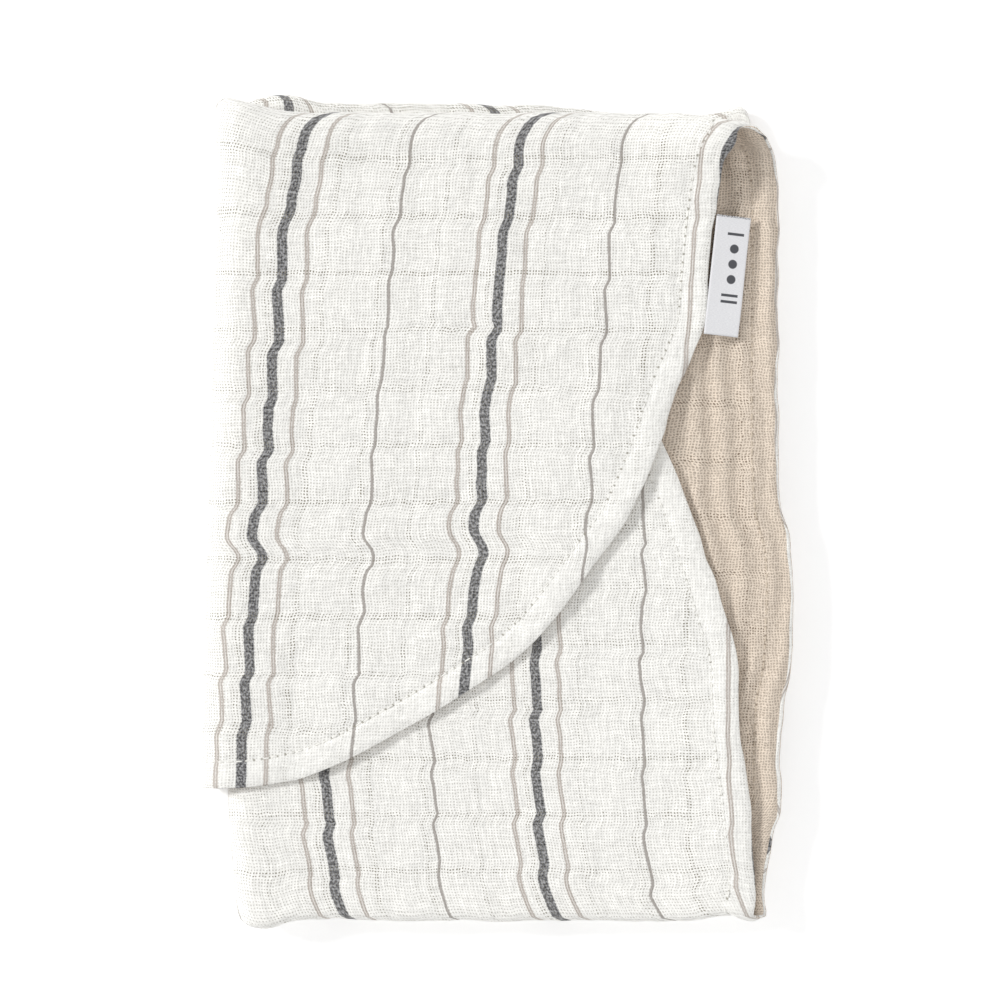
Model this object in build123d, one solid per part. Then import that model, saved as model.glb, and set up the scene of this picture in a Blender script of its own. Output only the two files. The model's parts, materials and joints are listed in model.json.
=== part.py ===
"""A small two-layer gauze wrap cloth for a baby, folded flat as a neat pack.

One striped face gauze and one plain lining gauze are sewn together round their edge. The long
cloth has round ends. Its two ends are folded over the middle, the top flap last, and the pack is
then folded in half along a lengthwise fold on its left side. Seen from above, the upper half
shows the top flap, the bottom flap under it and the lining of the base beyond their hems.
The lower half repeats the upper one below the plane of the lengthwise fold.

Lengths are in millimetres. +Z is up, +Y runs to the top fold and -X to the lengthwise fold.
"""

import os

from build123d import *

# Cloth.
gauze = 1.1  # loft of one crinkled gauze layer
ply = 2 * gauze  # face and lining together
ply_gap = 0.3  # air between two plies
hinge_gap = 0.2  # from the plane of the lengthwise fold to the nearest gauze

# The folded pack, seen from above.
folded_width = 165.2
folded_length = 228.8
top_flap_end = -77.1  # where the top flap's hem meets the lengthwise fold
bottom_flap_end = 104.0  # the same for the bottom flap, hidden under the top flap

# Hem stitching.
hem_width = 7.5  # from the edge to the topstitching
stitch_pitch = 2.5
stitch_length = 1.9
thread = 0.5

# Woven loop label in the top flap's hem.
label_width = 10.3
label_length = 33.6
label_leaf = 0.35
label_gap = 0.2  # between the two leaves of the loop
label_droop = 15.0  # degrees below level, from the hem down to the base
label_clearance = 0.8  # from the hem to the line the label turns about
label_hem_top = (61.2, 84.0)  # where the label meets the top flap's hem
label_hem_bottom = (57.5, 50.0)

# Heights above the plane of the lengthwise fold.
base_low = hinge_gap
bottom_flap_low = base_low + ply + ply_gap
top_flap_low = bottom_flap_low + ply + ply_gap
half_height = top_flap_low + ply

left = -folded_width / 2
right = folded_width / 2
top = folded_length / 2
bottom = -folded_length / 2
fold_x = left + half_height  # the round lengthwise fold ends and the flat pack begins here
fold_axis = Axis((fold_x, 0, 0), (0, 1, 0))

top_fold_radius = (half_height - base_low) / 2
top_fold_y = top - top_fold_radius
bottom_fold_radius = (bottom_flap_low + ply - base_low) / 2
bottom_fold_y = bottom + bottom_fold_radius

# Hems of the upper half, from the fold at the end of the pack round to the lengthwise fold.
top_flap_hem = Spline(
    (68.0, top_fold_y),
    label_hem_top,
    label_hem_bottom,
    (37.2, 0.7),
    (3.6, -41.9),
    (-42.0, -69.0),
    (fold_x, top_flap_end),
)
bottom_flap_hem = Spline(
    (72.2, bottom_fold_y),
    (67.5, -60.0),
    (62.7, -27.0),
    (45.4, 20.6),
    (12.0, 70.0),
    (-32.0, 96.0),
    (fold_x, bottom_flap_end),
)
base_hem = Spline(
    (74.5, bottom_fold_y),
    (79.0, -71.5),
    (right, -24.5),
    (78.4, 37.0),
    (78.7, 85.0),
    (74.8, top_fold_y),
)


def section(y_low, y_high, z_low, z_high):
    """A flat stretch of gauze, cut across at the start of the lengthwise fold."""
    plane = Plane((fold_x, 0, 0), x_dir=(0, 1, 0), z_dir=(1, 0, 0))
    middle = Pos((y_low + y_high) / 2, (z_low + z_high) / 2)
    return plane * (middle * Rectangle(y_high - y_low, z_high - z_low))


def crosswise_fold(y, z, outer_radius, side):
    """The same for the half ring of gauze that turns round the top (1) or bottom (-1) fold."""
    plane = Plane((fold_x, 0, 0), x_dir=(0, 1, 0), z_dir=(1, 0, 0))
    ring = Pos(y, z) * (Circle(outer_radius) - Circle(outer_radius - gauze))
    beyond = Pos(y + side * outer_radius, z) * Rectangle(2 * outer_radius, 2 * outer_radius)
    return plane * (ring & beyond)


def inside_hem(hem, *corners):
    """Everything between a hem and the corners that close its outline, as tall as the half pack."""
    start = hem @ 0
    end = hem @ 1
    rim = Polyline((end.X, end.Y), *corners, (start.X, start.Y))
    return extrude(make_face(hem + rim), amount=half_height)


def gauze_layer(profile, room):
    """A layer from the hem to the lengthwise fold, and the quarter turn round that fold."""
    flat = extrude(profile, amount=folded_width, dir=(1, 0, 0)) & room
    turned = revolve(profile, fold_axis, -90)
    return flat + turned


def base_layers():
    """Face below and lining above, because the base lies with its lining up."""
    room = inside_hem(base_hem, (fold_x, top_fold_y), (fold_x, bottom_fold_y))
    face = section(bottom_fold_y, top_fold_y, base_low, base_low + gauze)
    lining = section(bottom_fold_y, top_fold_y, base_low + gauze, base_low + ply)
    return {
        "face_base": gauze_layer(face, room),
        "lining_base": gauze_layer(lining, room),
    }


def flap_layers(name, low, hem, fold_y, radius, end_y, side):
    """Lining below and face above, both turned round a crosswise fold from the base."""
    beyond_fold = fold_y + side * radius
    room = inside_hem(hem, (fold_x, beyond_fold), ((hem @ 0).X, beyond_fold))
    first_y = min(fold_y, end_y)
    last_y = max(fold_y, end_y)
    middle = base_low + radius
    lining = section(first_y, last_y, low, low + gauze)
    lining += crosswise_fold(fold_y, middle, radius - gauze, side)
    face = section(first_y, last_y, low + gauze, low + ply)
    face += crosswise_fold(fold_y, middle, radius, side)
    return {
        "face_" + name: gauze_layer(face, room),
        "lining_" + name: gauze_layer(lining, room),
    }


def topstitching(hem, side, surface):
    """Running stitches one hem width inside a hem, sunk flush into the gauze under them."""
    count = int(hem.length / stitch_pitch)
    stitches = []
    for number in range(count):
        along = (number + 0.5) / count
        direction = hem % along
        inward = Vector(-direction.Y, direction.X, 0) * side
        place = (hem @ along) + inward * hem_width
        turn = Vector(1, 0, 0).get_signed_angle(direction, Vector(0, 0, 1))
        stitch = Box(stitch_length, thread, thread)
        depth = surface - thread / 2
        stitches.append(Pos(place.X, place.Y, depth) * Rot(0, 0, turn) * stitch)
    return Compound(children=stitches)


def half_pack():
    """All the pieces of the upper half, above the plane of the lengthwise fold."""
    pieces = base_layers()
    pieces |= flap_layers(
        "bottom_flap",
        bottom_flap_low,
        bottom_flap_hem,
        bottom_fold_y,
        bottom_fold_radius,
        bottom_flap_end,
        -1,
    )
    pieces |= flap_layers(
        "top_flap",
        top_flap_low,
        top_flap_hem,
        top_fold_y,
        top_fold_radius,
        top_flap_end,
        1,
    )
    pieces["topstitch_base"] = topstitching(base_hem, 1, base_low + ply)
    pieces["topstitch_bottom_flap"] = topstitching(bottom_flap_hem, 1, bottom_flap_low + ply)
    pieces["topstitch_top_flap"] = topstitching(top_flap_hem, -1, half_height)
    return pieces


def label_loop():
    """A satin ribbon folded into a flat loop, its two ends at the hem and its fold outward."""
    thickness = 2 * label_leaf + label_gap
    outer = SlotCenterPoint((0, 0), (label_width - thickness / 2, 0), thickness)
    inner = SlotCenterPoint((0, 0), (label_width - thickness / 2, 0), label_gap)
    cut_back = label_leaf / 2  # trims the closed end, so that the loop's two ends stand apart
    open_side = Pos(label_width / 2 + cut_back, 0) * Rectangle(label_width, 3 * thickness)
    section_plane = Plane((0, 0, 0), x_dir=(1, 0, 0), z_dir=(0, 1, 0))
    ribbon = extrude(section_plane * ((outer - inner) & open_side), amount=label_length)
    hem_top = Vector(*label_hem_top, 0)
    hem_bottom = Vector(*label_hem_bottom, 0)
    along = (hem_top - hem_bottom).normalized()
    outward = Vector(along.Y, -along.X, 0)
    lean = Vector(0, 1, 0).get_signed_angle(along, Vector(0, 0, 1))
    start = hem_bottom + outward * label_clearance
    seam_height = top_flap_low + gauze
    place = Pos(start.X, start.Y, seam_height) * Rot(0, 0, lean) * Rot(0, label_droop, 0)
    return place * ribbon


def write_parts():
    os.makedirs("parts", exist_ok=True)
    lift = Pos(0, 0, half_height)
    for name, piece in half_pack().items():
        export_step(lift * piece, f"parts/{name}_upper.step")
        export_step(lift * mirror(piece, Plane.XY), f"parts/{name}_lower.step")
    export_step(lift * label_loop(), "parts/label_loop.step")


write_parts()
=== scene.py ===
"""A folded two-layer gauze wrap cloth: striped face gauze, beige lining gauze, topstitching
and a satin loop label. Both gauzes are whole panels. Every point of the cloth has a place
across it (p, measured both ways from the lengthwise fold) and a place along it (v, from the
top flap's end, round the top fold, down the base, round the bottom fold and up the bottom
flap). cloth_point() folds that flat cloth into the pack. Lengths are in millimetres until a
mesh is made.
"""

import json
import math

import bpy
import numpy as np
from mathutils.kdtree import KDTree
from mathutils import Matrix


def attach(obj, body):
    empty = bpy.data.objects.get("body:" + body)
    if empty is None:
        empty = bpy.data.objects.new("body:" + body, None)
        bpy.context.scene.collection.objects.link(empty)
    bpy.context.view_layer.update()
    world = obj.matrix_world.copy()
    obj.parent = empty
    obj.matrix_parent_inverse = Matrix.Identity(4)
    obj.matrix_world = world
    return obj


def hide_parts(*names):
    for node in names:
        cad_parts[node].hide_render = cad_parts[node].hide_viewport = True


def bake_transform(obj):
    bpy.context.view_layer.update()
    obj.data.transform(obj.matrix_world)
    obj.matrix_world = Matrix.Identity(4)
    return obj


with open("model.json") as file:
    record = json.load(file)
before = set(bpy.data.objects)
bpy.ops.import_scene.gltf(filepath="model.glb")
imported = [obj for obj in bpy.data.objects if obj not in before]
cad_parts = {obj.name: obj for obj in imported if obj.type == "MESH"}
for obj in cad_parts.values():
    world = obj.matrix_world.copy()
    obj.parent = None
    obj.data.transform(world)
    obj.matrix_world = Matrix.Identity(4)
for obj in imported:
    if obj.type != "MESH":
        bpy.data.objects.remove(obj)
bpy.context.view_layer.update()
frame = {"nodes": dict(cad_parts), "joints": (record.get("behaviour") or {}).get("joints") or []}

MM = 0.001
QUARTER_TURN = math.pi / 2

# ---------------------------------------------------------------- the folded cloth
fold_joint = next(j for j in frame["joints"] if j["name"] == "lengthwise_fold")
fold_z = fold_joint["pos_m"][2] / MM  # height of the plane between the two halves
label_joint = next(j for j in frame["joints"] if j["name"] == "label_turn")

BASE_HEIGHT = 2.0  # each ply's middle, above the fold's plane in the upper half
BOTTOM_FLAP_HEIGHT = 4.3
TOP_FLAP_HEIGHT = 6.3
HALF_PLY = 0.55  # from a ply's middle to each of its gauzes
TOP_Y = 111.4
BOTTOM_Y = -113.9
TOP_FLAP_END = -77.1
BOTTOM_FLAP_END = 104.0
HEM_WIDTH = 7.5
STITCH_PITCH = 2.5
STRIPE_REPEAT = 60.8
TACK_PITCH = 16.0  # between the rows that tack the two gauzes together
PUFF_COLUMN_PITCH = 15.2
SIDE_LINE = 6.75  # from a charcoal band's middle to the thin taupe line beside it
TOP_CREASE_V = 67  # where the top flap's upper crease crosses the cloth
FLOOR_CLEARANCE = 0.25
NOISE_CELLS = 128
STITCH_REACH = 0.95  # half of a stitch's length between its two needle holes
LABEL_WIDTH = 8.9
LABEL_LENGTH = 33.6

# Hems of the upper half, seen from above.
TOP_FLAP_HEM = [
    (-72.0, -77.05),
    (-58.0, -74.8),
    (-42.0, -69.0),
    (-11.5, -51.6),
    (9.2, -36.8),
    (26.9, -14.4),
    (37.2, 0.7),
    (45.4, 21.0),
    (50.7, 36.0),
    (57.0, 52.0),
    (59.0, 70.0),
    (60.8, 88.0),
    (62.2, 95.2),
    (65.6, 104.6),
]
BASE_HEM = [
    (75.2, 108.0),
    (76.6, 103.0),
    (77.8, 96.0),
    (78.7, 85.0),
    (78.4, 37.0),
    (78.5, 14.0),
    (79.5, 0.7),
    (82.2, -11.0),
    (82.6, -24.0),
    (81.5, -44.7),
    (79.6, -54.0),
    (79.0, -71.5),
    (78.7, -84.0),
    (77.0, -89.0),
    (75.6, -97.0),
    (74.6, -107.0),
]
BOTTOM_FLAP_HEM = [
    (72.0, -107.0),
    (70.3, -84.0),
    (67.5, -59.5),
    (66.5, -40.0),
    (62.7, -27.3),
    (55.4, -3.5),
    (45.4, 20.6),
    (20.0, 62.0),
    (-5.0, 84.0),
    (-40.0, 99.0),
    (-70.0, 103.9),
]


def smooth(x):
    x = np.clip(x, 0, 1)
    return x * x * (3 - 2 * x)


def bump(x, width):
    return np.exp(-((x / width) ** 2))


def soft_min(a, limit, width):
    """a where it is well under the limit, and close under the limit where it is over."""
    return limit - width * np.logaddexp(0, (limit - a) / width)


def noise_field(seed):
    """Smooth noise between -1 and 1 on a repeating lattice."""
    lattice = np.random.default_rng(seed).uniform(-1, 1, (NOISE_CELLS, NOISE_CELLS))

    def value(x, y):
        x, y = np.broadcast_arrays(np.asarray(x, float), np.asarray(y, float))
        xi = np.floor(x).astype(int)
        yi = np.floor(y).astype(int)
        fx = smooth(x - xi)
        fy = smooth(y - yi)
        left, right = xi % NOISE_CELLS, (xi + 1) % NOISE_CELLS
        low, high = yi % NOISE_CELLS, (yi + 1) % NOISE_CELLS
        a, b = lattice[left, low], lattice[right, low]
        c, d = lattice[left, high], lattice[right, high]
        return (a + (b - a) * fx) * (1 - fy) + (c + (d - c) * fx) * fy

    return value


shared_noise = noise_field(3)
ply_noise = noise_field(5)
fine_noise = noise_field(7)
kink_noise = noise_field(11)
pucker_noise = noise_field(13)


def catmull_rom(points, steps=24):
    """A smooth curve through the points."""
    pts = np.array(points, float)
    pts = np.vstack([2 * pts[0] - pts[1], pts, 2 * pts[-1] - pts[-2]])
    out = []
    for i in range(1, len(pts) - 2):
        p0, p1, p2, p3 = pts[i - 1 : i + 3]
        for k in range(steps):
            t = k / steps
            out.append(
                0.5
                * (
                    2 * p1
                    + (p2 - p0) * t
                    + (2 * p0 - 5 * p1 + 4 * p2 - p3) * t * t
                    + (3 * p1 - p0 - 3 * p2 + p3) * t**3
                )
            )
    out.append(pts[-2])
    return np.array(out)


def make_section():
    """The cloth's course in a lengthwise cut: places y and heights h, evenly spaced along it."""
    top_radius = (TOP_FLAP_HEIGHT + 0.9 - BASE_HEIGHT) / 2
    bottom_radius = (BOTTOM_FLAP_HEIGHT + 0.5 - BASE_HEIGHT) / 2
    top_centre = TOP_Y - top_radius
    bottom_centre = BOTTOM_Y + bottom_radius
    y = list(np.linspace(TOP_FLAP_END, top_centre - 1, 300))
    h = [TOP_FLAP_HEIGHT + 0.9 * float(smooth((q - 92) / 14)) for q in y]
    for angle in np.linspace(0, math.pi, 24):
        y.append(top_centre + top_radius * math.sin(angle))
        h.append(BASE_HEIGHT + top_radius * (1 + math.cos(angle)))
    down = np.linspace(top_centre - 1, bottom_centre + 1, 300)
    y += list(down)
    h += [BASE_HEIGHT] * len(down)
    for angle in np.linspace(0, math.pi, 20):
        y.append(bottom_centre - bottom_radius * math.sin(angle))
        h.append(BASE_HEIGHT + bottom_radius * (1 - math.cos(angle)))
    up = np.linspace(bottom_centre + 1, BOTTOM_FLAP_END, 300)
    y += list(up)
    h += [BOTTOM_FLAP_HEIGHT + 0.5 * float(smooth((-100 - q) / 12)) for q in up]
    course = np.column_stack([y, h])
    length = np.concatenate([[0], np.cumsum(np.hypot(*np.diff(course, axis=0).T))])
    v = np.arange(0, length[-1], 0.25)
    course = np.column_stack([np.interp(v, length, course[:, k]) for k in (0, 1)])
    tangent = np.gradient(course, axis=0)
    tangent /= np.linalg.norm(tangent, axis=1)[:, None]
    flap_turns = int(np.argmax(course[:, 0]))
    base_turns = int(np.argmin(np.where(v > v[flap_turns], course[:, 0], 999)))
    return v, course[:, 0], course[:, 1], -tangent[:, 1], tangent[:, 0], flap_turns, base_turns


SEC_V, SEC_Y, SEC_H, SEC_NY, SEC_NH, TOP_TURN, BOTTOM_TURN = make_section()
LENGTH = SEC_V[-1]
TOP_TURN_V = SEC_V[TOP_TURN]
BOTTOM_TURN_V = SEC_V[BOTTOM_TURN]


def fold_centre(y, v):
    """Where the flat pack begins, beside the round of the lengthwise fold."""
    top_flap = -70.25 - 0.029 * (116 - y)
    base = -70.3 + 3.9 * ((112 - y) / 226) ** 2
    bottom_flap = -70.9 + 4.5 * np.exp(-(y + 114) / 18)
    into_base = smooth((v - TOP_TURN_V + 6) / 12)
    into_flap = smooth((v - BOTTOM_TURN_V + 4) / 8)
    return top_flap + (base - top_flap) * into_base + (bottom_flap - base) * into_flap


def fold_radius(h):
    return 0.2 + 1.18 * h


SEC_C = fold_centre(SEC_Y, SEC_V)


def across(x, v):
    """The place across the cloth that lies at x in the upper half."""
    h = np.interp(v, SEC_V, SEC_H)
    return x - np.interp(v, SEC_V, SEC_C) + QUARTER_TURN * fold_radius(h)


def make_hem():
    """The hem's course over the cloth, in (v, p), from the top flap's end to the other end."""
    first, last = slice(0, TOP_TURN), slice(BOTTOM_TURN, None)
    middle = slice(TOP_TURN, BOTTOM_TURN)
    points = [(0.0, 0.0)]
    for x, y in TOP_FLAP_HEM:
        v = float(np.interp(y, SEC_Y[first], SEC_V[first]))
        points.append((v, float(across(x, v))))
    for x, past_turn in ((68.0, -2.4), (70.7, 0.0), (73.0, 2.6)):
        v = TOP_TURN_V + past_turn
        points.append((v, float(across(x, v))))
    for x, y in BASE_HEM:
        v = float(np.interp(-y, -SEC_Y[middle], SEC_V[middle]))
        points.append((v, float(across(x, v))))
    points.append((BOTTOM_TURN_V, float(across(73.4, BOTTOM_TURN_V))))
    for x, y in BOTTOM_FLAP_HEM:
        v = float(np.interp(y, SEC_Y[last], SEC_V[last]))
        points.append((v, float(across(x, v))))
    points.append((LENGTH, 0.0))
    curve = catmull_rom(points)
    length = np.concatenate([[0], np.cumsum(np.hypot(*np.diff(curve, axis=0).T))])
    s = np.arange(0, length[-1], 0.4)
    return np.column_stack([s] + [np.interp(s, length, curve[:, k]) for k in (0, 1)])


HEM = make_hem()
HEM_S, HEM_V, HEM_P = HEM.T
HEM_TREE = KDTree(len(HEM))
for number, (s, v, p) in enumerate(HEM):
    HEM_TREE.insert((v, p, 0), number)
HEM_TREE.balance()


def from_hem(p, v):
    """Each point's distance from the hem and the nearest place along it."""
    distance = np.empty(p.size)
    place = np.empty(p.size)
    for i, (a, b) in enumerate(zip(np.abs(p).ravel(), v.ravel())):
        _, k, distance[i] = HEM_TREE.find((b, a, 0))
        place[i] = HEM_S[k]
    return distance.reshape(p.shape), place.reshape(p.shape)


def stripe_place(p, v, e):
    """The place across the cloth that the stripes are woven by, with their small kinks."""
    y = np.interp(v, SEC_V, SEC_Y)
    outer_part = smooth((p - 90) / 55)
    end_bend = 7.8 * np.exp(-(111.6 - y) / 7)
    top_flap = 15.9 + 0.052 * (y + 64) + end_bend + 2.5 * (1 - outer_part) * smooth((y - 75) / 25)
    top_flap -= 0.9 * outer_part * smooth((y - 80) / 8)
    edge_bends = 10.3 * bump(y - 109.5, 4.5) + 11.9 * bump(y + 94, 9) - 7.5
    base = 31.0 - outer_part * edge_bends
    under_top = smooth((y - 60) / 40) * (p < 0)
    top_flap = top_flap + (44.3 - top_flap) * under_top
    base = base + (44.3 - base) * under_top
    bottom_flap = 30.5 + 1.6 * smooth((-104 - y) / 10) - 2.2 * smooth((p - 40) / 80)
    into_base = smooth((v - TOP_TURN_V + 1) / 6)
    into_flap = smooth((v - BOTTOM_TURN_V + 4) / 6)
    drift = top_flap + (base - top_flap) * into_base + (bottom_flap - base) * into_flap
    step = v / TACK_PITCH + 0.25 * kink_noise(p / 30, v / 60)
    saw = step - np.floor(step)
    saw = np.where(saw < 0.75, saw / 0.75, 1 - smooth((saw - 0.75) / 0.25)) - 0.5
    row = np.floor(step)
    strength = 1.15 + 0.9 * kink_noise(p / 40 + 9, row * 1.37)
    past_crease = v - TOP_CREASE_V
    fold_kink = 1.7 * np.tanh((past_crease - 0.03 * p) / 2.2) * bump(past_crease, 9) * (p > 0)
    sway = 0.7 * kink_noise(p / 60 + 31, v / 26)
    jitter = 0.3 * kink_noise(p / 25 + 63, v / 5)
    woven = p * (1 + 0.05 * under_top) - drift
    kinks = (strength * saw + sway + fold_kink) * smooth(e / 14)
    return woven + kinks + jitter - 0.2 * np.exp(-e / 6)


def relief(p, v, e, s):
    """How far a ply stands out from its middle height: folds, puffs, creases and puckers."""
    y = np.interp(v, SEC_V, SEC_Y)
    h = np.interp(v, SEC_V, SEC_H)
    outer = np.clip((h - BASE_HEIGHT) / (TOP_FLAP_HEIGHT - BASE_HEIGHT), 0, 1)
    x = np.interp(v, SEC_V, SEC_C) + np.abs(p)
    half = np.where(p < 0, 40.0, 0.0)
    lift = (0.2 + 0.8 * outer) * 0.55 * shared_noise(x / 34 + half, y / 27)
    own = 0.32 * ply_noise(p / 15, v / 11) + 0.16 * fine_noise(p / 5, v / 4.2)
    lift += (0.35 + 0.65 * outer) * own
    rows = np.abs(np.sin(math.pi * v / TACK_PITCH))
    columns = np.abs(np.sin(math.pi * p / PUFF_COLUMN_PITCH))
    lift += (0.3 + 0.7 * outer) * 0.42 * (np.sqrt(rows * columns) - 0.6)
    creases = 0.7 * bump(v - TOP_CREASE_V - 0.03 * p + ply_noise(p / 9, 3), 1.6)
    creases *= smooth((70 - p) / 30)
    creases += 0.8 * bump(v - 58.5 - 1.2 * ply_noise(p / 12, 9), 1.5) * bump(p - 80, 55)
    lift += creases * (p > 0)
    pleat_wander = 0.35 * ply_noise(v / 45, 5) + 0.12 * ply_noise(v / 13, 7)
    pleats = np.sin(2 * math.pi * (e / 7.4 + pleat_wander)) * smooth(e / 3) * smooth((34 - e) / 12)
    pleat_depth = 0.75 + 0.4 * ply_noise(v / 30, e / 9)
    lift += pleat_depth * pleats * (1 - smooth(outer / 0.2)) * (p > 0)
    seam = np.sin(2 * math.pi * (s / 5.2 + 0.7 * pucker_noise(s / 9, 2)))
    lift += 0.17 * seam * bump(e - HEM_WIDTH, 4.5)
    lift += 0.3 * pucker_noise(s / 14, 21) * np.exp(-e / 4) * (0.3 + 0.7 * outer)
    return lift


def arch_raise(x, y, outer):
    """The top fold stands open at the hem side, where its two plies bow apart."""
    return 6.0 * smooth((x - 34) / 30) * smooth((y - 80) / 26) * outer


def cloth_point(p, v, d, e, s):
    """Where a point of the cloth lies in the folded pack, d outward from its ply's middle."""
    y = np.interp(v, SEC_V, SEC_Y)
    h = np.interp(v, SEC_V, SEC_H)
    ny = np.interp(v, SEC_V, SEC_NY)
    nh = np.interp(v, SEC_V, SEC_NH)
    centre = np.interp(v, SEC_V, SEC_C)
    upper = p >= 0
    a = np.abs(p)
    quarter = QUARTER_TURN * fold_radius(h)
    radius = fold_radius(h) + nh * d
    angle = np.clip(a / fold_radius(h), 0, QUARTER_TURN)
    flat = np.maximum(a - quarter, 0)
    x = centre - radius * np.cos(angle) + flat
    on_top_flap = smooth((TOP_TURN_V - 14 - v) / 30)
    unbacked = smooth((x - flap_edge_x(y) + 6) / 14)
    height = h + nh * d + relief(p, v, e, s) - 0.8 * on_top_flap * unbacked * smooth((y + 20) / 40)
    outer = np.clip((h - BASE_HEIGHT) / (TOP_FLAP_HEIGHT - BASE_HEIGHT), 0, 1.2)
    height = height + arch_raise(x, y, outer) * (v < BOTTOM_TURN_V - 60) * upper
    flap_lift = 1.7 * smooth((x - 46) / 18) * smooth((-25 - y) / 30)
    flap_lift *= smooth((BOTTOM_TURN_V + 70 - v) / 20)
    height = height + flap_lift * outer * (v > BOTTOM_TURN_V - 20) * upper
    height = height + 0.55 * on_top_flap
    near_fold = 1 - smooth(flat / 20)
    z = np.where(a < quarter, radius * np.sin(angle), height + (radius - height) * near_fold)
    z = np.where(upper, z, soft_min(z, fold_z - FLOOR_CLEARANCE, 0.35))
    z = np.maximum(z, 1.15 * smooth((a - 0.4 * quarter) / (0.6 * quarter)))
    x = np.where(upper, x, x - 2.6 * smooth((x - 66) / 8))
    scallop = 0.55 * pucker_noise(s / 6.5, 40) * np.exp(-e / 5) * smooth(a / 20)
    x = x + scallop
    y = y + scallop * (1 - smooth((v - TOP_TURN_V + 40) / 20)) * smooth((40 - y) / 30)
    top_weight = smooth((y - 66) / 42)
    end_weight = smooth((y - 98) / 10)
    upper_top = 4.4 * bump(x + 78, 12) * top_weight - 3.4 * smooth((x - 48) / 24) * end_weight
    lower_top = 2.9 - 3.0 * smooth((x - 5) / 38) + 2.8 * bump(x + 61, 9) + 0.6 * bump(x + 30, 14)
    lower_top = lower_top * top_weight
    lower_top += (2.0 * smooth((x - 57) / 11) - 6.0 * smooth((x - 69) / 4)) * end_weight
    bottom_weight = smooth((-82 - y) / 30)
    upper_bottom = -2.4 * bump(x + 66, 6) + 0.6 * bump(x + 46, 12) + 1.3 * bump(x - 63, 6)
    ripple = 0.3 * shared_noise(x / 9, 77) + 0.16 * fine_noise(x / 3.5, 31)
    y = y + ny * d + np.where(upper, upper_top, lower_top) + top_weight * ripple
    y = y + bottom_weight * (np.where(upper, upper_bottom, 0.8) + ripple)
    return np.stack([x, y, fold_z + np.where(upper, z, -z)], axis=-1)


FLAP_EDGE = catmull_rom(BOTTOM_FLAP_HEM)


def flap_edge_x(y):
    """The bottom flap's hem under the top flap, as an x for each y."""
    return np.interp(y, FLAP_EDGE[:, 1], FLAP_EDGE[:, 0], left=72.0, right=-90.0)


def ply_half_thickness(e):
    """Half the space between the two gauzes: none at the hem, more where the seam lies inside."""
    edge = np.sqrt(np.clip(1 - (1 - np.clip(e / 0.9, 0, 1)) ** 2, 0, 1))
    band = 0.3 * smooth((e - 0.4) / 1.5) * smooth((HEM_WIDTH - e) / 1.6)
    return edge * (HALF_PLY + band - 0.33 * bump(e - HEM_WIDTH, 0.8))


def make_grid():
    """Rows along the hem and columns across the cloth, closer together at the hem."""
    spacing = np.maximum(np.abs(np.diff(HEM_V)) / 1.45, np.abs(np.diff(HEM_P)) / 3.2)
    count = np.concatenate([[0], np.cumsum(spacing)])
    rows = np.interp(np.arange(0.8, count[-1] - 0.8), count, np.arange(len(HEM_V)))
    row_v = np.interp(rows, np.arange(len(HEM_V)), HEM_V)
    row_p = np.interp(rows, np.arange(len(HEM_V)), HEM_P)
    edge = np.array([0, 0.05, 0.18, 0.4, 0.7, 1.1, 1.7, 2.5, 3.5, 4.7])
    inner = np.linspace(0, 1, 88)
    scale = np.minimum(1, row_p / 40)[:, None]
    start = 6.0 * scale
    half = np.concatenate(
        [(row_p[:, None] - start) * inner[None, :], row_p[:, None] - edge[::-1] * scale], axis=1
    )
    p = np.concatenate([-half[:, :0:-1], half], axis=1)
    return p, np.repeat(row_v[:, None], p.shape[1], axis=1)


GRID_P, GRID_V = make_grid()
GRID_E, GRID_S = from_hem(GRID_P, GRID_V)
on_hem = np.zeros(GRID_P.shape, bool)
on_hem[:, [0, -1]] = True
on_hem[[0, -1], :] = True
GRID_E[on_hem] = 0
STRIPE_U = stripe_place(GRID_P, GRID_V, GRID_E)


def mesh_object(name, points, faces, uv=None, attributes=()):
    """A smooth-shaded object from points in millimetres."""
    mesh = bpy.data.meshes.new(name)
    mesh.from_pydata((np.asarray(points) * MM).tolist(), [], np.asarray(faces).tolist())
    corners = np.empty(len(mesh.loops), np.int32)
    mesh.loops.foreach_get("vertex_index", corners)
    if uv is not None:
        layer = mesh.uv_layers.new(name="cloth")
        layer.data.foreach_set("uv", np.asarray(uv, np.float32)[corners].ravel())
    for key, values in attributes:
        attribute = mesh.attributes.new(key, "FLOAT", "POINT")
        attribute.data.foreach_set("value", np.asarray(values, np.float32))
    mesh.polygons.foreach_set("use_smooth", np.ones(len(mesh.polygons), bool))
    piece = bpy.data.objects.new(name, mesh)
    bpy.context.scene.collection.objects.link(piece)
    return piece


def rolled_over(columns, add):
    """The columns with more on each side for the face gauze's roll over the hem's edge."""
    return np.concatenate([columns[:, :1] - add[:, ::-1], columns, columns[:, -1:] + add], axis=1)


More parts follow.
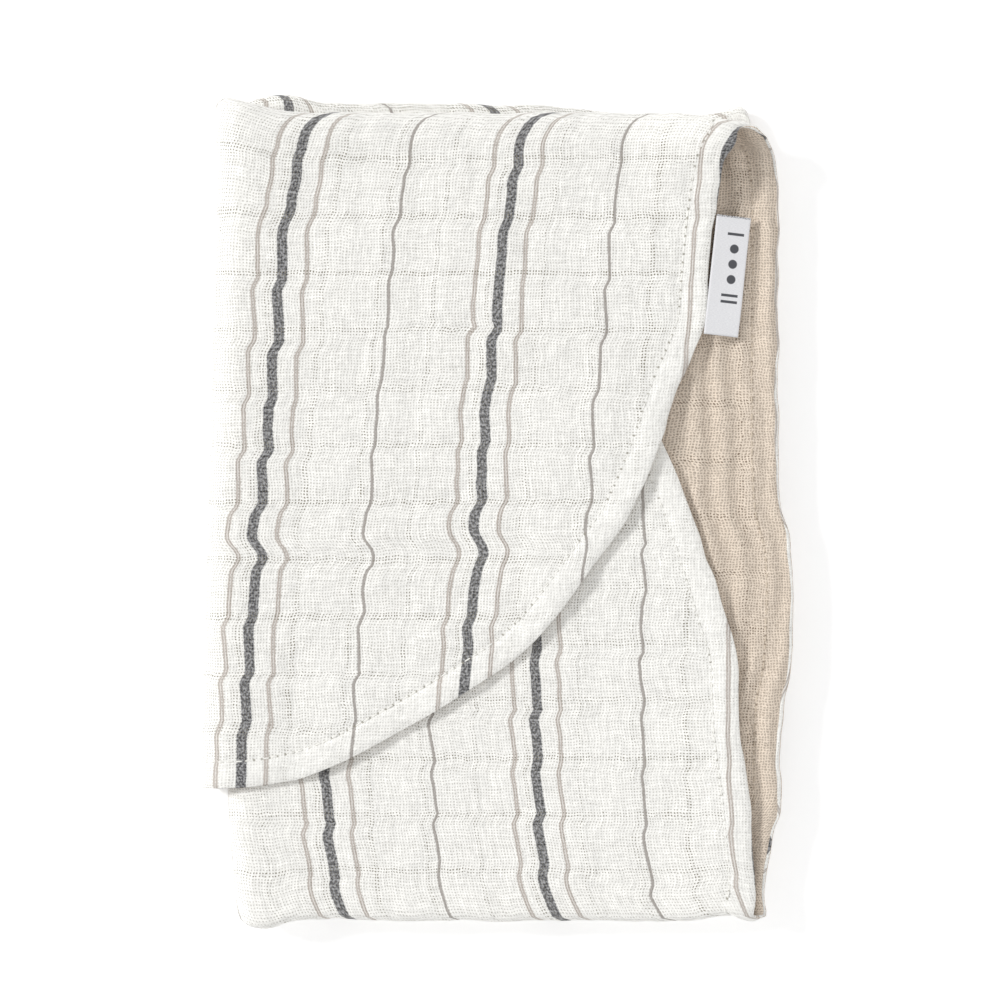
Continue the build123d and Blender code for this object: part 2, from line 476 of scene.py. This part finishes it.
def gauze_panel(name, side, material):
    """One whole panel: side is 1 for the face gauze and -1 for the lining."""
    p, v, e, s, u = GRID_P, GRID_V, GRID_E, GRID_S, STRIPE_U
    d = side * ply_half_thickness(e)
    if side > 0:
        lengths = np.array([0.22, 0.5, 0.8, 1.1])
        width = 0.85 + 0.35 * pucker_noise(s[:, -1:] / 11, 4)
        roll = lengths * width * np.minimum(1, p[:, -1:] / 40)
        none = np.zeros_like(roll)
        p = rolled_over(p, -roll)
        v, s = rolled_over(v, none), rolled_over(s, none)
        e = np.concatenate([roll[:, ::-1], e, roll], axis=1)
        u = rolled_over(u, roll)
        under = -ply_half_thickness(roll) - np.array([0.1, 0.14, 0.14, 0.02])
        d = np.concatenate([under[:, ::-1], d, under], axis=1)
    points = cloth_point(p, v, d, e, s).reshape(-1, 3)
    rows, columns = p.shape
    corner = np.arange(rows * columns).reshape(rows, columns)
    faces = np.stack(
        [corner[:-1, :-1], corner[:-1, 1:], corner[1:, 1:], corner[1:, :-1]], axis=-1
    ).reshape(-1, 4)
    if side > 0:
        faces = faces[:, ::-1]
    uv = np.stack([u.ravel(), v.ravel()], axis=-1)
    facts = [("hem_distance", e.ravel()), ("hem_place", s.ravel())]
    panel = mesh_object(name, points, faces, uv, facts)
    panel.data.materials.append(material)
    return panel


def capsule():
    """A stitch lying along x, one unit long, with rounded ends: points and faces."""
    rings, sides = 6, 6
    points = []
    for i in range(rings + 1):
        t = i / rings
        r = math.sqrt(max(0.0, 1 - (2 * t - 1) ** 4)) * 0.9 + 0.02
        for k in range(sides):
            turn = 2 * math.pi * k / sides
            dip = 0.5 * (2 * t - 1) ** 2  # a stitch's ends go down into the cloth
            points.append((t - 0.5, r * math.cos(turn), r * math.sin(turn) - dip))
    faces = []
    for i in range(rings):
        for k in range(sides):
            a, b = i * sides + k, i * sides + (k + 1) % sides
            faces.append((a, b, b + sides, a + sides))
    faces.append(tuple(range(sides))[::-1])
    faces.append(tuple(rings * sides + k for k in range(sides)))
    return np.array(points), faces


def topstitching(name, side, material):
    """The stitches that show on one side of the cloth, one hem width inside its edge."""
    shape, shape_faces = capsule()
    points, faces = [], []
    v_in = np.gradient(HEM_P, HEM_S)
    p_in = -np.gradient(HEM_V, HEM_S)
    length = np.hypot(v_in, p_in)
    inner_v = HEM_V + HEM_WIDTH * v_in / length
    inner_p = HEM_P + HEM_WIDTH * p_in / length
    step = np.concatenate([[0], np.cumsum(np.hypot(np.diff(inner_v), np.diff(inner_p)))])
    random = np.random.default_rng(17)
    for direction in (1, -1):
        for place in np.arange(STITCH_PITCH, step[-1] - STITCH_PITCH, STITCH_PITCH):
            at = place + random.uniform(-0.12, 0.12)
            v0, v1 = np.interp([at - STITCH_REACH, at + STITCH_REACH], step, inner_v)
            p0, p1 = np.interp([at - STITCH_REACH, at + STITCH_REACH], step, inner_p)
            if p0 < 1 or p1 < 1:
                continue
            t = shape[:, 0] + 0.5
            off = shape[:, 1] * 0.26
            run = math.hypot(v1 - v0, p1 - p0)
            v = v0 + (v1 - v0) * t + off * (p1 - p0) / run
            p = p0 + (p1 - p0) * t - off * (v1 - v0) / run
            e = np.full(len(t), HEM_WIDTH)
            s = np.full(len(t), float(np.interp(at, step, HEM_S)))
            d = side * (ply_half_thickness(e) + 0.10 + shape[:, 2] * 0.17)
            start = len(points) * len(shape)
            points.append(cloth_point(direction * p, v, d, e, s))
            faces += [tuple(start + k for k in face) for face in shape_faces]
    mesh = bpy.data.meshes.new(name)
    mesh.from_pydata((np.concatenate(points) * MM).tolist(), [], faces)
    mesh.polygons.foreach_set("use_smooth", np.ones(len(mesh.polygons), bool))
    piece = bpy.data.objects.new(name, mesh)
    bpy.context.scene.collection.objects.link(piece)
    piece.data.materials.append(material)
    return piece


# ---------------------------------------------------------------- materials
class Nodes:
    """Short names for building a material's node tree."""

    def __init__(self, name):
        self.material = bpy.data.materials.new(name)
        self.material.use_nodes = True
        self.tree = self.material.node_tree
        self.shader = self.tree.nodes["Principled BSDF"]

    def node(self, kind, **settings):
        made = self.tree.nodes.new(kind)
        for key, value in settings.items():
            setattr(made, key, value)
        return made

    def put(self, socket, value):
        if isinstance(value, bpy.types.NodeSocket):
            self.tree.links.new(value, socket)
        else:
            socket.default_value = value

    def math(self, operation, *values, clamp=False):
        made = self.node("ShaderNodeMath", operation=operation, use_clamp=clamp)
        for socket, value in zip(made.inputs, values):
            self.put(socket, value)
        return made.outputs[0]

    def mix(self, factor, a, b):
        made = self.node("ShaderNodeMix", data_type="RGBA")
        self.put(made.inputs[0], factor)
        self.put(made.inputs[6], a)
        self.put(made.inputs[7], b)
        return made.outputs[2]

    def ramp(self, value, low, high, to_low=0.0, to_high=1.0):
        made = self.node("ShaderNodeMapRange", interpolation_type="SMOOTHSTEP")
        for socket, item in zip(made.inputs[:5], (value, low, high, to_low, to_high)):
            self.put(socket, item)
        return made.outputs[0]

    def cloth_uv(self):
        uv = self.node("ShaderNodeUVMap", uv_map="cloth")
        parts = self.node("ShaderNodeSeparateXYZ")
        self.put(parts.inputs[0], uv.outputs[0])
        return parts.outputs[0], parts.outputs[1]

    def vector(self, x, y, z=0.0):
        made = self.node("ShaderNodeCombineXYZ")
        for socket, value in zip(made.inputs, (x, y, z)):
            self.put(socket, value)
        return made.outputs[0]

    def noise(self, vector, scale, detail=2.0):
        made = self.node("ShaderNodeTexNoise")
        self.put(made.inputs["Vector"], vector)
        made.inputs["Scale"].default_value = scale
        made.inputs["Detail"].default_value = detail
        return made.outputs[0]

    def random(self, value, seed):
        made = self.node("ShaderNodeTexWhiteNoise", noise_dimensions="2D")
        self.put(made.inputs["Vector"], self.vector(value, seed))
        return made.outputs[0]

    def attribute(self, name):
        return self.node("ShaderNodeAttribute", attribute_name=name).outputs["Fac"]


def near(n, value, centre, half_width, blur):
    """1 within half_width of the centre, falling to 0 over blur."""
    away = n.math("ABSOLUTE", n.math("SUBTRACT", value, centre))
    return n.ramp(away, half_width, half_width + blur, 1.0, 0.0)


def threads(n, place, pitch, seed):
    """Threads that run across `place`: how solid each is, and its rounded profile."""
    count = n.math("DIVIDE", place, pitch)
    index = n.math("FLOOR", count)
    within = n.math("SUBTRACT", n.math("FRACT", count), 0.5)
    profile = n.math("COSINE", n.math("MULTIPLY", within, math.pi))
    weight = n.ramp(n.random(index, seed), 0.0, 1.0, 0.22, 0.55)
    solid = n.ramp(n.math("ADD", profile, weight), 0.78, 1.18)
    return solid, profile


def gauze_material(name, colour, gap_shade_colour, gap_shade_strength, thread_shade, pitch, crepe, striped):
    """Open weave with slubs, tacking rows, needle holes at the hem and, if striped, stripes. The
    weave's gaps, the tacking rows, the needle holes and the threads' edges get painted shade,
    partly the tint of the gauze behind.
    """
    n = Nodes(name)
    u, v = n.cloth_uv()
    flat = n.vector(u, v)
    e = n.attribute("hem_distance")
    s = n.attribute("hem_place")
    wander_u = n.math("SUBTRACT", n.noise(n.vector(n.math("MULTIPLY", u, 0.5), v), 0.16), 0.5)
    wander_v = n.math("SUBTRACT", n.noise(n.vector(u, n.math("MULTIPLY", v, 0.5)), 0.17), 0.5)
    thread_u = n.math("ADD", u, n.math("MULTIPLY", wander_u, 1.9))
    thread_v = n.math("ADD", v, n.math("MULTIPLY", wander_v, 1.9))
    fine_u = n.math("SUBTRACT", n.noise(flat, 1.3, 1.0), 0.5)
    fine_v = n.math("SUBTRACT", n.noise(n.vector(v, u), 1.3, 1.0), 0.5)
    warp_place = n.math("ADD", thread_u, n.math("MULTIPLY", fine_u, crepe))
    weft_place = n.math("ADD", thread_v, n.math("MULTIPLY", fine_v, crepe))
    warp, warp_profile = threads(n, warp_place, pitch, 3.0)
    weft, weft_profile = threads(n, weft_place, pitch, 8.0)
    # the open gaps of the weave, which get painted shade
    open_mesh = n.math("MULTIPLY", n.math("SUBTRACT", 1.0, warp), n.math("SUBTRACT", 1.0, weft))
    row = n.math("PINGPONG", thread_v, TACK_PITCH / 2)
    column = n.math("PINGPONG", n.math("ADD", thread_u, 3.0), PUFF_COLUMN_PITCH / 2)
    tack_rows = n.ramp(row, 0.55, 1.3, 1.0, 0.0)
    tack_columns = n.ramp(column, 0.45, 1.0, 1.0, 0.0)
    patchy = n.ramp(n.noise(flat, 0.11, 3.0), 0.35, 0.65, 0.55, 1.0)
    tack = n.math("MAXIMUM", tack_rows, n.math("MULTIPLY", tack_columns, 0.9))
    tack = n.math("MULTIPLY", tack, patchy)
    band = n.ramp(e, HEM_WIDTH - 0.6, HEM_WIDTH + 0.8, 0.45, 1.0)
    depth = n.math("ADD", n.math("MULTIPLY", tack, 0.75), gap_shade_strength)
    depth = n.math("MULTIPLY", n.math("MULTIPLY", depth, band), n.ramp(patchy, 0, 1, 0.6, 1.0))
    # how much painted shade each gap gets, more in the tacking rows and less in the hem band
    gap_shade = n.math("MULTIPLY", open_mesh, depth, clamp=True)
    slub = n.noise(n.vector(n.math("MULTIPLY", u, 2.2), n.math("MULTIPLY", v, 0.25)), 0.6, 3.0)
    slub_weft = n.noise(n.vector(n.math("MULTIPLY", u, 0.25), n.math("MULTIPLY", v, 2.2)), 0.6, 3.0)
    shade = n.math("ADD", n.math("MULTIPLY", slub, 0.5), n.math("MULTIPLY", slub_weft, 0.5))
    light = [min(1.0, c * 1.06) for c in colour[:3]] + [1]
    dark = [c * 0.90 for c in colour[:3]] + [1]
    base = n.mix(n.ramp(shade, 0.36, 0.64), dark, light)
    if striped:
        base = stripes(n, base, u, v, weft)
    # painted shade at the edges of the rounded threads, as strong as thread_shade
    weave = n.math("MAXIMUM", warp_profile, weft_profile)
    between = n.math("MULTIPLY", n.ramp(weave, 0.72, 0.97, 1.0, 0.0), thread_shade)
    gap_shade = n.math("MAXIMUM", gap_shade, between)
    # painted shade in the needle holes along the topstitching
    needle = near(n, e, HEM_WIDTH, 0.18, 0.3)
    along = n.math("PINGPONG", s, STITCH_PITCH / 2)
    needle = n.math("MULTIPLY", needle, n.ramp(along, 0.15, 0.45, 0.8, 0.0))
    gap_shade = n.math("MAXIMUM", gap_shade, needle)
    # gaps, needle holes and thread edges mixed toward a painted shade colour
    n.put(n.shader.inputs["Base Color"], n.mix(gap_shade, base, gap_shade_colour))
    n.put(n.shader.inputs["Roughness"], n.ramp(shade, 0.3, 0.7, 0.82, 0.96))
    n.shader.inputs["Specular IOR Level"].default_value = 0.25
    n.shader.inputs["Sheen Weight"].default_value = 0.15
    n.shader.inputs["Sheen Roughness"].default_value = 0.5
    weave = n.math("ADD", weave, n.math("MULTIPLY", shade, 0.9))
    weave = n.math("SUBTRACT", weave, n.math("MULTIPLY", tack, 0.35))
    thread_bump = n.node("ShaderNodeBump")
    thread_bump.inputs["Strength"].default_value = 0.55
    thread_bump.inputs["Distance"].default_value = 0.00022
    n.put(thread_bump.inputs["Height"], weave)
    crinkle = n.noise(flat, 0.42, 3.0)
    crinkle_bump = n.node("ShaderNodeBump")
    crinkle_bump.inputs["Strength"].default_value = 0.5
    crinkle_bump.inputs["Distance"].default_value = 0.0009
    n.put(crinkle_bump.inputs["Height"], crinkle)
    n.put(crinkle_bump.inputs["Normal"], thread_bump.outputs[0])
    n.put(n.shader.inputs["Normal"], crinkle_bump.outputs[0])
    return n.material


def stripes(n, base, u, v, weft):
    """Charcoal bands with a thin taupe line on each side and a thin line half way between."""
    ragged = n.math("SUBTRACT", n.noise(n.vector(u, n.math("MULTIPLY", v, 2.0)), 0.9, 2.0), 0.5)
    ragged_u = n.math("ADD", u, n.math("MULTIPLY", ragged, 0.5))
    from_band = n.math("PINGPONG", ragged_u, STRIPE_REPEAT / 2)
    fleck = n.noise(n.vector(n.math("MULTIPLY", u, 1.7), n.math("MULTIPLY", v, 1.3)), 0.95, 3.0)
    charcoal = n.mix(n.ramp(fleck, 0.42, 0.62), (0.032, 0.033, 0.040, 1), (0.33, 0.33, 0.34, 1))
    charcoal = n.mix(n.math("MULTIPLY", weft, 0.12), charcoal, base)
    line_gap = near(n, from_band, SIDE_LINE, 0.05, 0.22)
    taupe = n.mix(n.math("MULTIPLY", line_gap, 0.55), (0.42, 0.36, 0.32, 1), base)
    taupe = n.mix(n.math("MULTIPLY", fleck, 0.35), taupe, base)
    grey = n.mix(n.math("MULTIPLY", fleck, 0.35), (0.30, 0.27, 0.25, 1), base)
    base = n.mix(near(n, from_band, SIDE_LINE, 0.45, 0.35), base, taupe)
    base = n.mix(near(n, from_band, STRIPE_REPEAT / 2, 0.3, 0.3), base, grey)
    return n.mix(near(n, from_band, 0.0, 1.25, 0.35), base, charcoal)


def thread_material(name, dark, light):
    """Twisted sewing thread, its twist painted as bands of shade and highlight."""
    n = Nodes(name)
    place = n.node("ShaderNodeTexCoord").outputs["Object"]
    twist = n.node("ShaderNodeTexWave", wave_type="BANDS", bands_direction="DIAGONAL")
    n.put(twist.inputs["Vector"], place)
    twist.inputs["Scale"].default_value = 1400.0
    twist.inputs["Distortion"].default_value = 2.0
    # painted shade in the twist's grooves and painted highlight on its ridges
    n.put(n.shader.inputs["Base Color"], n.mix(twist.outputs["Fac"], dark, light))
    n.put(n.shader.inputs["Roughness"], n.ramp(twist.outputs["Fac"], 0, 1, 0.6, 0.8))
    return n.material


def label_material():
    """Pale satin with fine ribs, darker cut ends and a plain mark of dots and bars."""
    n = Nodes("label_satin")
    a, b = n.cloth_uv()
    rib = n.math("SINE", n.math("MULTIPLY", a, 2 * math.pi / 0.28))
    weave = n.noise(n.vector(n.math("MULTIPLY", a, 6.0), b), 1.6, 3.0)
    satin = n.mix(n.ramp(weave, 0.35, 0.65), (0.76, 0.76, 0.785, 1), (0.86, 0.86, 0.875, 1))
    middle, radius = 5.0, 1.25
    mark = None
    for along in (24.5, 20.2, 15.9):
        du = n.math("SUBTRACT", a, along)
        dv = n.math("SUBTRACT", b, middle)
        away = n.math("SQRT", n.math("ADD", n.math("MULTIPLY", du, du), n.math("MULTIPLY", dv, dv)))
        dot = n.ramp(away, radius - 0.08, radius + 0.12, 1.0, 0.0)
        mark = dot if mark is None else n.math("MAXIMUM", mark, dot)
    for along in (28.6, 11.4, 9.6):
        bar = n.math("MULTIPLY", near(n, a, along, 0.32, 0.12), near(n, b, middle, 2.3, 0.12))
        mark = n.math("MAXIMUM", mark, bar)
    mark = n.math("MULTIPLY", mark, n.ramp(rib, -1, 1, 0.93, 1.0))
    surface = n.mix(mark, satin, (0.040, 0.042, 0.052, 1))
    fray = n.ramp(n.noise(n.vector(a, n.math("MULTIPLY", b, 3.0)), 1.5, 1.0), 0.42, 0.56)
    cut_end = n.math("MULTIPLY", near(n, a, LABEL_LENGTH, 0.42, 0.1), fray)
    surface = n.mix(n.math("MULTIPLY", cut_end, 0.85), surface, (0.07, 0.07, 0.08, 1))
    n.put(n.shader.inputs["Base Color"], surface)
    n.put(n.shader.inputs["Roughness"], n.ramp(weave, 0.3, 0.7, 0.38, 0.55))
    n.shader.inputs["Sheen Weight"].default_value = 0.1
    ribs = n.node("ShaderNodeBump")
    ribs.inputs["Strength"].default_value = 0.4
    ribs.inputs["Distance"].default_value = 0.00006
    n.put(ribs.inputs["Height"], n.math("ADD", rib, n.math("MULTIPLY", weave, 1.5)))
    n.put(n.shader.inputs["Normal"], ribs.outputs[0])
    return n.material


# ---------------------------------------------------------------- label
def label_loop(material):
    """A ribbon out from the hem to its fold and back underneath, bowed a little."""
    width, length, leaf = LABEL_WIDTH, LABEL_LENGTH, 0.42
    axis = np.array(label_joint["axis"], float)
    along = -axis / np.linalg.norm(axis)
    out = np.array([along[1], -along[0], 0])
    droop = math.radians(13)
    out = out * math.cos(droop) - np.array([0, 0, 1]) * math.sin(droop)
    up = np.cross(out, along)
    up = up if up[2] > 0 else -up
    start = np.array(label_joint["pos_m"]) / MM
    root = -1.0  # the ends are caught in the hem
    course = [(root + t * (width - root - leaf), leaf / 2) for t in np.linspace(0, 1, 22)]
    for angle in np.linspace(0, math.pi, 9)[1:-1]:
        course.append((width - leaf + leaf / 2 * math.sin(angle) * 1.4, leaf / 2 * math.cos(angle)))
    course += [(root + t * (width - root - leaf), -leaf / 2) for t in np.linspace(1, 0, 22)]
    course = np.array(course)
    run = np.concatenate([[0], np.cumsum(np.hypot(*np.diff(course, axis=0).T))])
    points, uv = [], []
    columns = 60
    for k in range(columns):
        a = length * k / (columns - 1)
        for (b, height), place in zip(course, run):
            bow = 0.35 * math.sin(math.pi * a / length) * (b / width) ** 2
            bow += 0.22 * math.sin(2.1 * math.pi * a / length + 0.6) * max(b, 0) / width
            point = start + along * a + out * b + up * (height + bow)
            point[2] += float(arch_raise(start[0] + along[0] * a, point[1], 1.0))
            points.append(point)
            uv.append((a, place + root if height >= 0 else 40 + place))
    faces = []
    rows = len(course)
    for k in range(columns - 1):
        for i in range(rows - 1):
            c = k * rows + i
            faces.append((c, c + rows, c + rows + 1, c + 1))
    piece = mesh_object("label_loop_satin", points, faces, uv)
    piece.data.materials.append(material)
    thick = piece.modifiers.new("leaf", "SOLIDIFY")
    thick.thickness = 0.00022
    thick.offset = 0
    return piece


FACE_COLOUR = (0.925, 0.915, 0.88)
LINING_COLOUR = (0.79, 0.685, 0.575)
# colours in the weave's gaps: painted shade, partly the tint of the gauze behind
FACE_GAP_SHADE = (0.27, 0.25, 0.20, 1)
LINING_GAP_SHADE = (0.20, 0.145, 0.10, 1)
face_gauze = gauze_material(
    "striped_face_gauze",
    FACE_COLOUR,
    FACE_GAP_SHADE,
    gap_shade_strength=0.52,
    thread_shade=0.06,
    pitch=0.83,
    crepe=0.4,
    striped=True,
)
lining_gauze = gauze_material(
    "lining_gauze",
    LINING_COLOUR,
    LINING_GAP_SHADE,
    gap_shade_strength=0.62,
    thread_shade=0.5,
    pitch=0.78,
    crepe=0.75,
    striped=False,
)
# each thread's two colours: painted shade in the twist's grooves and painted highlight on its
# ridges
top_thread = thread_material("top_thread", (0.80, 0.79, 0.74, 1), (0.92, 0.91, 0.88, 1))
under_thread = thread_material("under_thread", (0.56, 0.47, 0.37, 1), (0.68, 0.59, 0.48, 1))

face = gauze_panel("face_panel", 1, face_gauze)
lining = gauze_panel("lining_panel", -1, lining_gauze)
face_stitches = topstitching("topstitch_face_side", 1, top_thread)
lining_stitches = topstitching("topstitch_lining_side", -1, under_thread)
label = label_loop(label_material())

# ---------------------------------------------------------------- bodies and the CAD parts hidden behind the new pieces
nodes = list(frame["nodes"])
for piece in (face, lining, face_stitches, lining_stitches):
    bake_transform(piece)
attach(label, "label")
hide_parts(*[name for name in nodes if name.startswith("face_")])
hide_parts(*[name for name in nodes if name.startswith("lining_")])
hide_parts(*[name for name in nodes if name.startswith("topstitch_")])
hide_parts(*[name for name in nodes if name.startswith("topstitch_")])
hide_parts("label_loop")

# ---------------------------------------------------------------- floor, light and camera
floor_mesh = bpy.data.meshes.new("floor")
reach = 3.0
floor_mesh.from_pydata(
    [(-reach, -reach, 0), (reach, -reach, 0), (reach, reach, 0), (-reach, reach, 0)],
    [],
    [(0, 1, 2, 3)],
)
floor = bpy.data.objects.new("floor", floor_mesh)
bpy.context.scene.collection.objects.link(floor)
ground = Nodes("pale_floor")
ground.shader.inputs["Base Color"].default_value = (0.93, 0.93, 0.93, 1)
ground.shader.inputs["Roughness"].default_value = 0.9
ground.shader.inputs["Emission Color"].default_value = (1, 1, 1, 1)
ground.shader.inputs["Emission Strength"].default_value = 0.3
floor.data.materials.append(ground.material)

world = bpy.data.worlds.new("studio")
bpy.context.scene.world = world
world.use_nodes = True
world.node_tree.nodes["Background"].inputs[0].default_value = (1, 1, 1, 1)
world.node_tree.nodes["Background"].inputs[1].default_value = 0.65


def sun(name, strength, angle_deg, from_point):
    lamp = bpy.data.lights.new(name, "SUN")
    lamp.energy = strength
    lamp.angle = math.radians(angle_deg)
    holder = bpy.data.objects.new(name, lamp)
    bpy.context.scene.collection.objects.link(holder)
    holder.location = from_point
    x, y, z = from_point
    holder.rotation_euler = (math.atan2(math.hypot(x, y), z), 0, math.atan2(x, -y))


sun("key", 1.85, 12, (-1.0, 0.4, 0.72))
sun("fill", 0.35, 40, (0.7, -0.6, 1.2))

camera_data = bpy.data.cameras.new("camera")
camera = bpy.data.objects.new("camera", camera_data)
bpy.context.scene.collection.objects.link(camera)
VIEW_WIDTH = 0.280
VIEW_CENTRE = (0.00028, 0.0035)
DISTANCE = 1.7
MIDDLE_HEIGHT = 0.012
camera.location = (VIEW_CENTRE[0], VIEW_CENTRE[1], MIDDLE_HEIGHT + DISTANCE)
camera_data.sensor_width = 36.0
camera_data.lens = camera_data.sensor_width * DISTANCE / VIEW_WIDTH
camera_data.clip_end = 20.0
bpy.context.scene.camera = camera
bpy.context.scene.view_settings.view_transform = "Standard"
bpy.context.scene.view_settings.look = "None"
